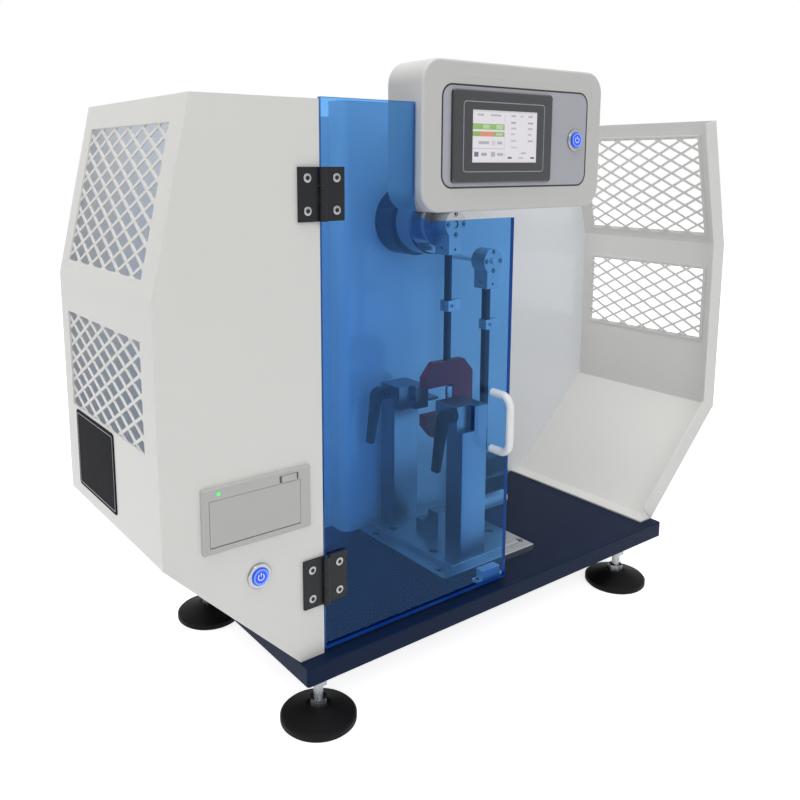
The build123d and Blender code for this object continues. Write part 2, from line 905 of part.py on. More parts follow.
# Centring block between the posts: a low step at the back of a taller nose, with a hollow fillet
with BuildPart() as centring_block:
    with BuildSketch(side(block_left_x)):
        with BuildLine():
            Polyline(
                (block_front_y, platform_top), (block_front_y, platform_top + block_height),
                (block_step_y - block_fillet, platform_top + block_height),
                (block_step_y - block_fillet, platform_top + block_step_height + block_fillet),
            )
            RadiusArc(
                (block_step_y - block_fillet, platform_top + block_step_height + block_fillet),
                (block_step_y, platform_top + block_step_height), block_fillet,
            )
            Polyline(
                (block_step_y, platform_top + block_step_height),
                (block_front_y + block_length, platform_top + block_step_height),
                (block_front_y + block_length, platform_top), (block_front_y, platform_top),
            )
        make_face()
    extrude(amount=block_width)
save(centring_block, "centring_block")


# Posts: two square steel pillars screwed to the platform, one on each side of the pendulum's path
with BuildPart() as support_posts:
    for post_sign in (-1, 1):
        with BuildSketch(Plane.XY.offset(platform_top)):
            with Locations((post_centre_x, post_sign * (post_inner_y + post_thickness / 2))):
                Rectangle(post_width, post_thickness)
        extrude(amount=post_height)
    chamfer(support_posts.edges().filter_by(Axis.Z), post_edge)
save(support_posts, "support_posts")


def build_support(name, sign):
    """Sliding jaw with its specimen ledge, and the clamping lever: front for -1, rear for 1."""
    outer_y = sign * post_outer_y
    post_y = sign * (post_inner_y + post_thickness / 2)
    jaw_inner_y = sign * (post_inner_y - jaw_reach)
    jaw_y = (jaw_inner_y + outer_y) / 2
    jaw_length = post_thickness + jaw_reach
    near_y = outer_y if sign < 0 else jaw_inner_y

    with BuildPart() as jaw:
        with BuildSketch(Plane.XY.offset(post_top)):
            with Locations((post_centre_x, jaw_y)):
                Rectangle(post_width, jaw_length)
        extrude(amount=jaw_height)
        chamfer(jaw.edges().group_by(Axis.Z)[-1], jaw_edge)
        with BuildSketch(Plane.XY.offset(post_top)):
            with Locations((anvil_x - post_width, near_y)):
                Rectangle(jaw_notch_width, jaw_notch_depth, align=(Align.MIN, Align.MIN))
        extrude(amount=jaw_height, mode=Mode.SUBTRACT)
        with BuildSketch(side(anvil_x - post_width + jaw_notch_width)):
            with Locations((near_y + jaw_notch_depth / 2, post_top + jaw_height / 2)):
                Circle(jaw_bore_radius)
        extrude(amount=post_width - jaw_notch_width, mode=Mode.SUBTRACT)
        with BuildSketch(side(anvil_x - post_width)):
            with Locations((post_y, post_top + jaw_height * 2 / 3)):
                Circle(lever_stud_radius + running_gap)
        extrude(amount=lever_stud_length, mode=Mode.SUBTRACT)
        with BuildSketch(Plane.XY.offset(post_top + shelf_rise)):
            with Locations((anvil_x + shelf_reach / 2, jaw_inner_y + sign * shelf_length / 2)):
                Rectangle(shelf_reach, shelf_length)
        extrude(amount=shelf_thickness)
    save(jaw, f"{name}_jaw")

    hub_left = anvil_x - post_width - free_gap - lever_hub_length
    lever_z = post_top + jaw_height * 2 / 3
    hub_right = hub_left + lever_hub_length
    with BuildPart() as lever:
        with BuildSketch(front(post_y - lever_width / 2)) as lever_outline:
            with BuildLine():
                Polyline(
                    (hub_right, lever_z + lever_hub_radius), (hub_left, lever_z + lever_hub_radius),
                    (hub_left - lever_lean, lever_z - lever_arm),
                    (hub_left - lever_lean + lever_arm_tip, lever_z - lever_arm),
                    (hub_left + lever_arm_top, lever_z - lever_hub_radius),
                    (hub_right, lever_z - lever_hub_radius), close=True,
                )
            make_face()
            elbow = lever_outline.vertices().sort_by_distance((hub_left, lever_z + lever_hub_radius, 0))[0]
            fillet(elbow, lever_elbow)
            fillet(lever_outline.vertices().group_by(Axis.Y)[0], lever_tip_fillet)
        extrude(amount=-lever_width)
        chamfer(lever.faces().filter_by(Axis.Y).edges(), lever_edge)
        with BuildSketch(side(hub_right - lever_collar_length)):
            with Locations((post_y, lever_z)):
                Circle(lever_hub_radius)
        extrude(amount=lever_collar_length)
        with BuildSketch(side(hub_right)):
            with Locations((post_y, lever_z)):
                Circle(lever_stud_radius)
        extrude(amount=lever_stud_length - free_gap)
    save(lever, f"{name}_lever")


build_support("front", -1)
build_support("rear", 1)

# Door: one clear sheet with a notch that passes round the console
with BuildPart() as door_panel:
    with BuildSketch(front(guard_front)) as door_outline:
        with BuildLine():
            Polyline(
                (door_left, door_bottom), (door_right, door_bottom), (door_right, notch_bottom),
                (notch_left, notch_bottom), (notch_left, door_top), (door_left, door_top), close=True,
            )
        make_face()
        notch_corner = door_outline.vertices().sort_by_distance((notch_left, notch_bottom, 0))[0]
        fillet(notch_corner, notch_radius)
    extrude(amount=-door_thickness)
save(door_panel, "door_panel")

# Bow handle: a bent round bar with its two ends on the door's front
with BuildPart() as door_handle:
    with BuildLine() as handle_path:
        handle_front = guard_front - handle_reach
        FilletPolyline(
            (handle_x, guard_front, handle_bottom), (handle_x, handle_front, handle_bottom),
            (handle_x, handle_front, handle_top), (handle_x, guard_front, handle_top), radius=handle_bend,
        )
    with BuildSketch(Plane(origin=(handle_x, guard_front, handle_bottom), z_dir=(0, -1, 0))):
        Circle(handle_radius)
    sweep(path=handle_path.line)
save(door_handle, "door_handle")


def build_hinge_leaf(sign, plate_start, barrels, bore_radius):
    """One set of hinge leaves: a screwed plate, its barrels about the door's axis and the web between.

    The sign is -1 for the frame's side and 1 for the door's. Barrels are heights and lengths from the middle."""
    with BuildPart() as leaves:
        for hinge_z in hinge_heights:
            with BuildSketch(front(guard_front - hinge_leaf)):
                with Locations((hinge_x + sign * (plate_start + hinge_size / 2) / 2, hinge_z)):
                    Rectangle(hinge_size / 2 - plate_start, hinge_size)
                with Locations((hinge_x + sign * hinge_screw_x, hinge_z)):
                    with GridLocations(0, 2 * hinge_screw_z, 1, 2):
                        Circle(hinge_screw_radius, mode=Mode.SUBTRACT)
            extrude(amount=-hinge_leaf)
            for barrel_start, barrel_length in barrels:
                with BuildSketch(Plane.XY.offset(hinge_z + barrel_start)):
                    with Locations((hinge_x, hinge_y)):
                        Circle(hinge_knuckle)
                    with Locations((hinge_x + sign * hinge_web / 2, guard_front - hinge_leaf / 2)):
                        Rectangle(hinge_web, hinge_leaf)
                extrude(amount=barrel_length)
            with BuildSketch(Plane.XY.offset(hinge_z - hinge_size / 2)):
                with Locations((hinge_x, hinge_y)):
                    Circle(bore_radius)
            extrude(amount=hinge_size, mode=Mode.SUBTRACT)
    return leaves


hinge_heights = (hinge_lower_z, hinge_upper_z)
barrel = hinge_size / 3
outer_barrels = [(-hinge_size / 2, barrel), (barrel / 2, barrel)]
middle_barrel = [(free_gap - barrel / 2, barrel - 2 * free_gap)]
save(build_hinge_leaf(-1, hinge_knuckle + free_gap, outer_barrels, hinge_pin_radius), "hinge_frame_leaves")
save(build_hinge_leaf(1, hinge_knuckle + 2 * free_gap, middle_barrel, hinge_pin_radius + running_gap),
     "hinge_door_leaves")

with BuildPart() as hinge_pins:
    for hinge_z in hinge_heights:
        with BuildSketch(Plane.XY.offset(hinge_z - hinge_size / 2)):
            with Locations((hinge_x, hinge_y)):
                Circle(hinge_pin_radius)
        extrude(amount=hinge_size)
save(hinge_pins, "hinge_pins")

# Door switch on the base behind the door's free corner, with a screw ear at each end
with BuildPart() as door_switch:
    switch_x = switch_right - switch_width / 2
    switch_y = guard_front + switch_set_back + switch_depth / 2
    with BuildSketch(Plane.XY.offset(base_top)):
        with Locations((switch_x, switch_y)):
            Rectangle(switch_width, switch_depth)
    extrude(amount=switch_height)
    fillet(door_switch.edges().filter_by(Axis.Z), switch_corner)
    with BuildSketch(Plane.XY.offset(base_top)):
        with Locations((switch_x, switch_y)):
            RectangleRounded(switch_width + 2 * switch_ear, switch_depth, switch_corner)
            with GridLocations(switch_width + switch_ear, 0, 2, 1):
                Circle(switch_hole_radius, mode=Mode.SUBTRACT)
    extrude(amount=switch_ear_thickness)
save(door_switch, "door_switch")

# Console housing: a moulded case with a sunk seat for its front plate and a hollow for the screen's module
with BuildPart() as console_housing:
    with BuildSketch(front(console_front)):
        with Locations((console_centre_x, console_centre_z)):
            RectangleRounded(console_width, console_height, console_corner)
    extrude(amount=-console_depth)
    fillet(console_housing.edges().group_by(Axis.Y)[0], console_edge)
    fillet(console_housing.edges().group_by(Axis.Y)[-1], console_edge)
    faceplate_width = console_width - 2 * faceplate_inset_x
    faceplate_height = console_height - 2 * faceplate_inset_z
    with BuildSketch(front(console_front)):
        with Locations((console_centre_x, console_centre_z)):
            RectangleRounded(faceplate_width, faceplate_height, faceplate_corner)
    extrude(amount=-faceplate_thickness, mode=Mode.SUBTRACT)
    with BuildSketch(front(console_front + faceplate_thickness)):
        with Locations((console_centre_x, console_centre_z)):
            RectangleRounded(faceplate_width - 2 * console_wall, faceplate_height - 2 * console_wall,
                             faceplate_corner - console_wall)
    extrude(amount=-(console_depth - faceplate_thickness - console_wall), mode=Mode.SUBTRACT)
save(console_housing, "console_housing")

bezel_centre = (bezel_left + bezel_width / 2, bezel_bottom + bezel_height / 2)
module_width = bezel_width - 2 * module_margin
module_height = bezel_height - 2 * module_margin
with BuildPart() as console_faceplate:
    with BuildSketch(front(console_front)):
        with Locations((console_centre_x, console_centre_z)):
            RectangleRounded(faceplate_width - 2 * running_gap, faceplate_height - 2 * running_gap,
                             faceplate_corner)
        with Locations(bezel_centre):
            Rectangle(module_width, module_height, mode=Mode.SUBTRACT)
        with Locations((release_x, release_z)):
            Circle(button_hole_radius, mode=Mode.SUBTRACT)
    extrude(amount=-faceplate_thickness)
save(console_faceplate, "console_faceplate")

# Touch screen: a bezel with its module behind the plate, and the glass set in its front
screen_centre = (screen_left + screen_width / 2, screen_bottom + screen_height / 2)
with BuildPart() as screen_bezel:
    with BuildSketch(front(console_front - bezel_proud)):
        with Locations(bezel_centre):
            RectangleRounded(bezel_width, bezel_height, bezel_corner)
    extrude(amount=-bezel_proud)
    chamfer(screen_bezel.edges().group_by(Axis.Y)[0], bezel_edge)
    with BuildSketch(front(console_front)):
        with Locations(bezel_centre):
            Rectangle(module_width - 2 * free_gap, module_height - 2 * free_gap)
    extrude(amount=-module_depth)
    with BuildSketch(front(console_front - bezel_proud)):
        with Locations(screen_centre):
            Rectangle(screen_width, screen_height)
    extrude(amount=-screen_depth - screen_sunk, mode=Mode.SUBTRACT)
save(screen_bezel, "screen_bezel")

with BuildPart() as screen_glass:
    with BuildSketch(front(console_front - bezel_proud + screen_sunk)):
        with Locations(screen_centre):
            Rectangle(screen_width, screen_height)
    extrude(amount=-screen_depth)
save(screen_glass, "screen_glass")

# Arm: a square tube from the column over the pendulum to the console's back
with BuildPart() as console_arm:
    arm_bottom = column_top - arm_drop - arm_height
    with BuildSketch(front(console_rear)):
        with Locations((pivot_x, arm_bottom + arm_height / 2)):
            Rectangle(arm_width, arm_height)
            Rectangle(arm_width - 2 * arm_wall, arm_height - 2 * arm_wall, mode=Mode.SUBTRACT)
    extrude(amount=console_rear - column_front)
save(console_arm, "console_arm")


# Lit push buttons: a flanged barrel through each panel and the cap that travels in it
button_places = {
    "power_button": (power_x, power_z, guard_front), "console_button": (release_x, release_z, console_front),
}
with BuildPart() as button_bezels:
    for button_x, button_z, face_y in button_places.values():
        with BuildSketch(front(face_y - button_flange)):
            with Locations((button_x, button_z)):
                Circle(button_flange_radius)
        extrude(amount=-button_flange)
        chamfer(button_bezels.faces().filter_by(Axis.Y).group_by(Axis.Y)[0].edges(), button_edge)
        with BuildSketch(front(face_y)):
            with Locations((button_x, button_z)):
                Circle(button_hole_radius - free_gap)
        extrude(amount=-button_barrel)
        with BuildSketch(front(face_y - button_flange)):
            with Locations((button_x, button_z)):
                Circle(button_bore_radius)
        extrude(amount=-(button_flange + button_barrel - button_floor), mode=Mode.SUBTRACT)
save(button_bezels, "button_bezels")

for button_name, (button_x, button_z, face_y) in button_places.items():
    with BuildPart() as button_cap:
        with BuildSketch(front(face_y - button_flange - button_cap_proud)):
            with Locations((button_x, button_z)):
                Circle(button_bore_radius - free_gap)
        extrude(amount=-button_cap_length)
        chamfer(button_cap.edges().group_by(Axis.Y)[0], button_edge)
    save(button_cap, button_name)

# Thermal printer: a tub through the front panel with a frame around its mouth
lid_left = printer_left + printer_lid_left
lid_bottom = printer_bottom + printer_lid_bottom
lid_centre_x = lid_left + printer_lid_width / 2
lid_axis_y = printer_front + printer_lid_thickness / 2
lid_axis_z = lid_bottom + printer_lid_thickness / 2
lid_bore_reach = lid_pin_reach + free_gap + printer_edge_gap
bay_width = printer_lid_width - 2 * lid_lap_x
bay_height = printer_lid_height - 2 * lid_lap_z
bay_centre = (lid_centre_x, lid_bottom + printer_lid_height / 2)
latch_centre = (lid_left + printer_lid_width - latch_width / 2 - latch_inset,
                lid_bottom + printer_lid_height + latch_height / 2 + latch_rise)
with BuildPart() as printer_housing:
    with BuildSketch(front(printer_front)):
        with Locations((printer_centre_x, printer_centre_z)):
            RectangleRounded(printer_width, printer_height, printer_corner)
    extrude(amount=-printer_proud)
    chamfer(printer_housing.edges().group_by(Axis.Y)[0], printer_edge)
    with BuildSketch(front(guard_front)):
        with Locations((printer_centre_x, printer_centre_z)):
            Rectangle(printer_mouth_width - 2 * printer_panel_gap,
                      printer_mouth_height - 2 * printer_panel_gap)
    extrude(amount=-printer_depth)
    with BuildSketch(front(printer_front)):
        with Locations(bay_centre):
            Rectangle(printer_lid_width + 2 * printer_edge_gap, printer_lid_height + 2 * printer_edge_gap)
    extrude(amount=-(printer_lid_thickness + printer_edge_gap), mode=Mode.SUBTRACT)
    with BuildSketch(front(printer_front)):
        with Locations(bay_centre):
            Rectangle(bay_width, bay_height)
    extrude(amount=-(printer_proud + printer_depth - printer_wall), mode=Mode.SUBTRACT)
    with BuildSketch(side(lid_left - lid_bore_reach)):
        with Locations((lid_axis_y, lid_axis_z)):
            Circle(lid_pin_radius + running_gap)
    extrude(amount=printer_lid_width + 2 * lid_bore_reach, mode=Mode.SUBTRACT)
    with BuildSketch(front(printer_front)):
        with Locations(latch_centre):
            Rectangle(latch_width + 2 * free_gap + latch_slot, latch_height + 2 * free_gap)
    extrude(amount=-latch_depth, mode=Mode.SUBTRACT)
save(printer_housing, "printer_housing")

# Lid: a flat cover with a rounded lower edge on two short pins
with BuildPart() as printer_lid:
    with BuildSketch(side(lid_left)):
        with BuildLine():
            half = printer_lid_thickness / 2
            lid_top = lid_bottom + printer_lid_height
            Polyline((lid_axis_y - half, lid_axis_z), (lid_axis_y - half, lid_top),
                     (lid_axis_y + half, lid_top), (lid_axis_y + half, lid_axis_z))
            RadiusArc((lid_axis_y + half, lid_axis_z), (lid_axis_y - half, lid_axis_z), half)
        make_face()
    extrude(amount=printer_lid_width)
    with BuildSketch(side(lid_left - lid_pin_reach)):
        with Locations((lid_axis_y, lid_axis_z)):
            Circle(lid_pin_radius)
    extrude(amount=printer_lid_width + 2 * lid_pin_reach)
save(printer_lid, "printer_lid")

with BuildPart() as printer_latch:
    with BuildSketch(front(printer_front - latch_proud)):
        with Locations(latch_centre):
            RectangleRounded(latch_width, latch_height, latch_corner)
    extrude(amount=-latch_depth - latch_proud)
save(printer_latch, "printer_latch")

with BuildPart() as paper_roll:
    roll_y = guard_front + printer_depth - printer_wall - roll_radius - free_gap
    roll_z = bay_centre[1] - bay_height / 2 + roll_radius + free_gap
    with BuildSketch(side(lid_centre_x - roll_length / 2)):
        with Locations((roll_y, roll_z)):
            Circle(roll_radius)
            Circle(roll_core, mode=Mode.SUBTRACT)
    extrude(amount=roll_length)
save(paper_roll, "paper_roll")
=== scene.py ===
"""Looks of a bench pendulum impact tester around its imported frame: finishes, fasteners, plates, lamps."""

import bpy
import numpy as np
from mathutils import Matrix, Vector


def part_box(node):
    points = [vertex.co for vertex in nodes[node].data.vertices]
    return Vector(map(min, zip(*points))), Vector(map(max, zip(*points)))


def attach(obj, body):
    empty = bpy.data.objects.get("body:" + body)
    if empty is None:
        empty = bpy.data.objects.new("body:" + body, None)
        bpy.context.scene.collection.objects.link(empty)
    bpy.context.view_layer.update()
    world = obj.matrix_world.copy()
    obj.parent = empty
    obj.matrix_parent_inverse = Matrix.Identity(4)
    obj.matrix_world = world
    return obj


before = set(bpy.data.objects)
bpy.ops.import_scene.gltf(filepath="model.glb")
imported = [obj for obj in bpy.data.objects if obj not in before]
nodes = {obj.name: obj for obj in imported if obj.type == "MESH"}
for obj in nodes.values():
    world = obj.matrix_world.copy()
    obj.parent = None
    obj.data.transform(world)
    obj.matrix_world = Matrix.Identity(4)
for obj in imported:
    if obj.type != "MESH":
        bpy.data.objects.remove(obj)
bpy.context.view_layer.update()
mm = 0.001

# Camera: stands to the left of the machine and looks slightly down at its door. The direction is the
# photograph's, found from the straight edges of the base, the door and the console.
camera_data = bpy.data.cameras.new("camera")
camera_data.lens = 37.755
camera_data.sensor_width = 36
camera_data.shift_x = 0.02875
camera_data.shift_y = -0.1225
camera_data.clip_start = 0.05
camera = bpy.data.objects.new("camera", camera_data)
bpy.context.scene.collection.objects.link(camera)
camera_right = np.array([0.800, -0.600, 0.0])
camera_down = np.array([-0.097, -0.131, -0.987])
camera_place = (-0.683, -0.7775, 0.556)
camera_axes = np.linalg.svd(np.column_stack([camera_right, -camera_down, -np.cross(camera_right, camera_down)]))
camera_turn = camera_axes.U @ camera_axes.Vh
camera.matrix_world = Matrix([[*camera_turn[i], camera_place[i]] for i in range(3)] + [[0, 0, 0, 1]])
bpy.context.scene.camera = camera

# Floor and studio: a pale plain sweep, soft lamps above and in front, and a white surround. The camera, and
# what is mirrored or seen through, meets white, while the object is lit at the plain level of the lamps.


def linear(code):
    """Linear colour of an sRGB hex value: a straight foot, then a power curve, in each channel."""
    channel = np.array([int(code[i:i + 2], 16) for i in (1, 3, 5)]) / 255
    curve = np.where(channel <= 0.04045, channel / 12.92, ((channel + 0.055) / 1.055) ** 2.4)
    return (*curve.tolist(), 1.0)


def add(material, kind, settings, links=None):
    """Add one node to a material's tree: plain settings by name or socket, and links from other sockets."""
    tree = material.node_tree
    made = tree.nodes.new(kind)
    for key, value in settings.items():
        if isinstance(key, int) or key in made.inputs:
            made.inputs[key].default_value = value
        else:
            setattr(made, key, value)
    for key, socket in (links or {}).items():
        tree.links.new(socket, made.inputs[key])
    return made


def blank_material(name):
    """A new material with an empty node tree."""
    material = bpy.data.materials.new(name)
    material.use_nodes = True
    material.node_tree.nodes.clear()
    return material


def seen_straight(tree):
    """A node that is 1 for camera, glossy and transmission rays and 0 for all others."""
    path = add(tree, "ShaderNodeLightPath", {})
    gloss = add(tree, "ShaderNodeMath", {"operation": "MAXIMUM"}, {
        0: path.outputs["Is Camera Ray"], 1: path.outputs["Is Glossy Ray"]})
    return add(tree, "ShaderNodeMath", {"operation": "MAXIMUM"}, {
        0: gloss.outputs[0], 1: path.outputs["Is Transmission Ray"]})


floor_paper = blank_material("white_studio_paper")
floor_shade = add(floor_paper, "ShaderNodeBsdfDiffuse", {"Color": linear("#f4f4f4")})
floor_glow = add(floor_paper, "ShaderNodeEmission", {"Color": linear("#ffffff"), "Strength": 0.8})
floor_sum = add(floor_paper, "ShaderNodeAddShader", {}, {0: floor_shade.outputs[0], 1: floor_glow.outputs[0]})
floor_mix = add(floor_paper, "ShaderNodeMixShader", {}, {
    0: seen_straight(floor_paper).outputs[0], 1: floor_shade.outputs[0], 2: floor_sum.outputs[0]})
add(floor_paper, "ShaderNodeOutputMaterial", {}, {"Surface": floor_mix.outputs[0]})
floor_half = 8.0
floor_mesh = bpy.data.meshes.new("floor")
floor_mesh.from_pydata(
    [(-floor_half, -floor_half, 0), (floor_half, -floor_half, 0), (floor_half, floor_half, 0),
     (-floor_half, floor_half, 0)], [], [(0, 1, 2, 3)])
floor = bpy.data.objects.new("floor", floor_mesh)
bpy.context.scene.collection.objects.link(floor)
floor_mesh.materials.append(floor_paper)

world = bpy.data.worlds.new("studio")
bpy.context.scene.world = world
world.use_nodes = True
world.node_tree.nodes.clear()
surround_soft = add(world, "ShaderNodeBackground", {"Color": linear("#f3f5f9"), "Strength": 0.47})
surround_white = add(world, "ShaderNodeBackground", {"Color": linear("#ffffff"), "Strength": 1.0})
surround_mix = add(world, "ShaderNodeMixShader", {}, {
    0: seen_straight(world).outputs[0], 1: surround_soft.outputs[0], 2: surround_white.outputs[0]})
add(world, "ShaderNodeOutputWorld", {}, {"Surface": surround_mix.outputs[0]})

for lamp_name, lamp_place, lamp_aim, lamp_size, lamp_power in (
        ("key_lamp", (-0.5, -2.4, 2.0), (0.0, 0.0, 0.35), 1.8, 16),
        ("side_lamp", (-1.9, -0.2, 2.5), (-0.3, 0.0, 0.5), 1.6, 18),
        ("top_lamp", (-0.1, -0.1, 2.4), (-0.05, 0.05, 0.3), 1.2, 18)):
    lamp_data = bpy.data.lights.new(lamp_name, "AREA")
    lamp_data.size = lamp_size
    lamp_data.energy = lamp_power
    lamp = bpy.data.objects.new(lamp_name, lamp_data)
    bpy.context.scene.collection.objects.link(lamp)
    lamp_back = np.array(lamp_place) - np.array(lamp_aim)
    lamp_back /= np.linalg.norm(lamp_back)
    lamp_side = np.cross([0, 0, 1], lamp_back)
    lamp_side /= np.linalg.norm(lamp_side)
    lamp_up = np.cross(lamp_back, lamp_side)
    lamp.matrix_world = Matrix(
        [[lamp_side[i], lamp_up[i], lamp_back[i], lamp_place[i]] for i in range(3)] + [[0, 0, 0, 1]])

# Base plate: a thick steel slab, shot-blasted and powder coated dark blue in a fine satin texture. The grain
# is drawn at 2 mm, coarser than the real coat, so that it shows.


def dress(material, *names):
    """Give the material to the named frame pieces, or to pieces made here."""
    for name in names:
        piece = nodes[name] if isinstance(name, str) else name
        piece.data.materials.clear()
        piece.data.materials.append(material)


def coated(name, colour, shade, roughness, grain, relief, coat=0.0, shine=0.5):
    """A painted, moulded or rubber surface: colour drifts to a shade in soft patches 180 mm broad, gloss varies
    in grains of the given millimetres, and the same grains stand up by relief, in millimetres."""
    material = blank_material(name)
    place = add(material, "ShaderNodeTexCoord", {})
    broad = add(material, "ShaderNodeTexNoise", {"Scale": 1 / (180 * mm), "Detail": 3.0},
                {"Vector": place.outputs["Object"]})
    fine = add(material, "ShaderNodeTexNoise", {"Scale": 1 / (grain * mm), "Detail": 2.0},
               {"Vector": place.outputs["Object"]})
    tint = add(material, "ShaderNodeMix", {"data_type": "RGBA", 6: linear(colour), 7: linear(shade)},
               {0: broad.outputs["Fac"]})
    gloss = add(material, "ShaderNodeMapRange", {"To Min": roughness - 0.05, "To Max": roughness + 0.07},
                {"Value": fine.outputs["Fac"]})
    raised = add(material, "ShaderNodeBump", {"Strength": 0.35, "Distance": relief * mm},
                 {"Height": fine.outputs["Fac"]})
    skin = add(material, "ShaderNodeBsdfPrincipled",
               {"Coat Weight": coat, "Coat Roughness": 0.08, "Specular IOR Level": shine},
               {"Base Color": tint.outputs[2], "Roughness": gloss.outputs[0], "Normal": raised.outputs[0]})
    add(material, "ShaderNodeOutputMaterial", {}, {"Surface": skin.outputs[0]})
    return material


base_coat = coated("dark_blue_powder_coat", "#11223f", "#0d1b34", 0.45, 2.0, 0.05, shine=0.08)
dress(base_coat, "base_plate")

# Levelling feet: moulded black rubber pads with a matt bloom, under zinc-plated studs whose rolled thread
# shows between the hexagon and the lock nut.


def machined(name, colour, shade, roughness, stretch, line):
    """Bare metal with the fine parallel lines of its last cut: noise drawn out along stretch, in millimetres
    per axis, sets the gloss and a slight relief, and 60 mm patches of a darker tone stand for handling."""
    material = blank_material(name)
    place = add(material, "ShaderNodeTexCoord", {})
    drawn = add(material, "ShaderNodeMapping", {"Scale": tuple(1 / (s * mm) for s in stretch)},
                {"Vector": place.outputs["Object"]})
    lines = add(material, "ShaderNodeTexNoise", {"Scale": 1.0, "Detail": 3.0}, {"Vector": drawn.outputs[0]})
    broad = add(material, "ShaderNodeTexNoise", {"Scale": 1 / (60 * mm), "Detail": 2.0},
                {"Vector": place.outputs["Object"]})
    tint = add(material, "ShaderNodeMix", {"data_type": "RGBA", 6: linear(colour), 7: linear(shade)},
               {0: broad.outputs["Fac"]})
    gloss = add(material, "ShaderNodeMapRange", {"To Min": roughness - 0.08, "To Max": roughness + 0.12},
                {"Value": lines.outputs["Fac"]})
    raised = add(material, "ShaderNodeBump", {"Strength": 0.3, "Distance": line * mm},
                 {"Height": lines.outputs["Fac"]})
    skin = add(material, "ShaderNodeBsdfPrincipled", {"Metallic": 1.0},
               {"Base Color": tint.outputs[2], "Roughness": gloss.outputs[0], "Normal": raised.outputs[0]})
    add(material, "ShaderNodeOutputMaterial", {}, {"Surface": skin.outputs[0]})
    return material


dress(coated("moulded_black_rubber", "#0c0c0e", "#131315", 0.55, 1.2, 0.06, shine=0.12), "foot_pads")
zinc_plate = machined("bright_zinc_plate", "#a5a7a8", "#8b8e92", 0.24, (3, 3, 0.8), 0.02)
dress(zinc_plate, "foot_lock_nuts", *[f"foot_stud_{number}" for number in range(1, 5)])

# Guards: 2 mm steel sheet, laser cut, bent and powder coated warm white with a slight orange peel, drawn at
# 4 mm so that it shows. The diamond meshes are coated with them.
guard_coat = coated("warm_white_powder_coat", "#e8e6e1", "#e1e0db", 0.38, 4.0, 0.03, coat=0.05, shine=0.3)
dress(guard_coat, "left_guard", "right_guard", "upper_meshes", "lower_meshes")

# Back panel and column: the same sheet steel in a smoother, glossier white coat.
panel_coat = coated("gloss_white_coat", "#eef0f2", "#e6e9ed", 0.22, 6.0, 0.02, coat=0.4)
dress(panel_coat, "back_panel", "column_housing", "console_arm", "spare_peg")

# Side plate: a blank black plate, 109 by 82 mm, of printed aluminium with a thin pale border line, stuck low
# on the left guard where the machine's particulars would be.


def rounded_loop(centre, half_width, half_height, radius, count=8):
    """Points round a rectangle with arcs at its corners: count points on each quarter turn about the corner's
    own centre, from the right of the first corner anticlockwise. Returns an array of (u, v)."""
    turn = (np.arange(4)[:, None] * np.pi / 2 + np.linspace(0, np.pi / 2, count)[None, :])
    sign_u = np.array([1, -1, -1, 1])[:, None]
    sign_v = np.array([1, 1, -1, -1])[:, None]
    u = centre[0] + sign_u * (half_width - radius) + radius * np.cos(turn)
    v = centre[1] + sign_v * (half_height - radius) + radius * np.sin(turn)
    return np.stack([u.ravel(), v.ravel()], axis=1)


def closed_strip(name, loops, body, material, cap=True):
    """A piece made of loops of equal length, one after another, joined by quads: point j of loop i joins point
    j + 1 and the next loop. With cap, the first and last loop are filled; without, the last joins the first."""
    loops = np.asarray(loops, float)
    rows, count = loops.shape[:2]
    bands = rows - 1 if cap else rows
    i = np.repeat(np.arange(bands), count)
    j = np.tile(np.arange(count), bands)
    after = (j + 1) % count
    lower = (i + 1) % rows
    quads = np.stack([i * count + j, i * count + after, lower * count + after, lower * count + j], axis=1)
    faces = quads.tolist()
    if cap:
        faces.append(list(range(count))[::-1])
        faces.append(list(range((rows - 1) * count, rows * count)))
    mesh = bpy.data.meshes.new(name)
    mesh.from_pydata(loops.reshape(-1, 3).tolist(), [], faces)
    mesh.materials.append(material)
    mesh.update()
    piece = bpy.data.objects.new(name, mesh)
    bpy.context.scene.collection.objects.link(piece)
    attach(piece, body)
    return piece


def recalculate(piece):
    """Turn a closed piece's faces outwards."""
    bpy.context.view_layer.objects.active = piece
    piece.select_set(True)
    bpy.ops.object.mode_set(mode="EDIT")
    bpy.ops.mesh.select_all(action="SELECT")
    bpy.ops.mesh.normals_make_consistent(inside=False)
    bpy.ops.object.mode_set(mode="OBJECT")
    piece.select_set(False)
    return piece


def inlay(name, axis, face, centre, half, steps, material, cap=True):
    """A thin plate, or without cap a thin ring, on the flat face at that place on the axis. Each step gives, in
    millimetres, how far its outline stands out of the face, how far it is drawn in, and its corner radius."""
    loops = []
    for out, inset, radius in steps:
        outline = rounded_loop(centre, half[0] - inset * mm, half[1] - inset * mm, radius * mm)
        loops.append(np.insert(outline, axis, face - out * mm, axis=1))
    return recalculate(closed_strip(name, loops, "frame", material, cap))


plate_black = coated("printed_black_film", "#0b0c0f", "#101115", 0.55, 3.0, 0.01, shine=0.03)
plate_line = coated("printed_grey_line", "#9aa0a8", "#8b9199", 0.45, 3.0, 0.01)
plate_centre = (39 * mm, 261 * mm)
plate_half = (54.5 * mm, 41 * mm)
plate_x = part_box("left_guard")[0][0]
inlay("side_plate", 0, plate_x, plate_centre, plate_half, ((0, 0, 4), (0.7, 0, 4), (0.9, 0.3, 4)),
      plate_black)
inlay("side_plate_border", 0, plate_x, plate_centre, plate_half,
      ((0.85, 3, 2.5), (1, 3, 2.5), (1, 3.8, 2.5), (0.85, 3.8, 2.5)), plate_line, cap=False)

# Bearing boss: a turned cast housing in dark blue enamel behind the bright hub.
dress(coated("dark_blue_enamel", "#141c38", "#1a2342", 0.34, 3.0, 0.02, coat=0.2), "bearing_boss")

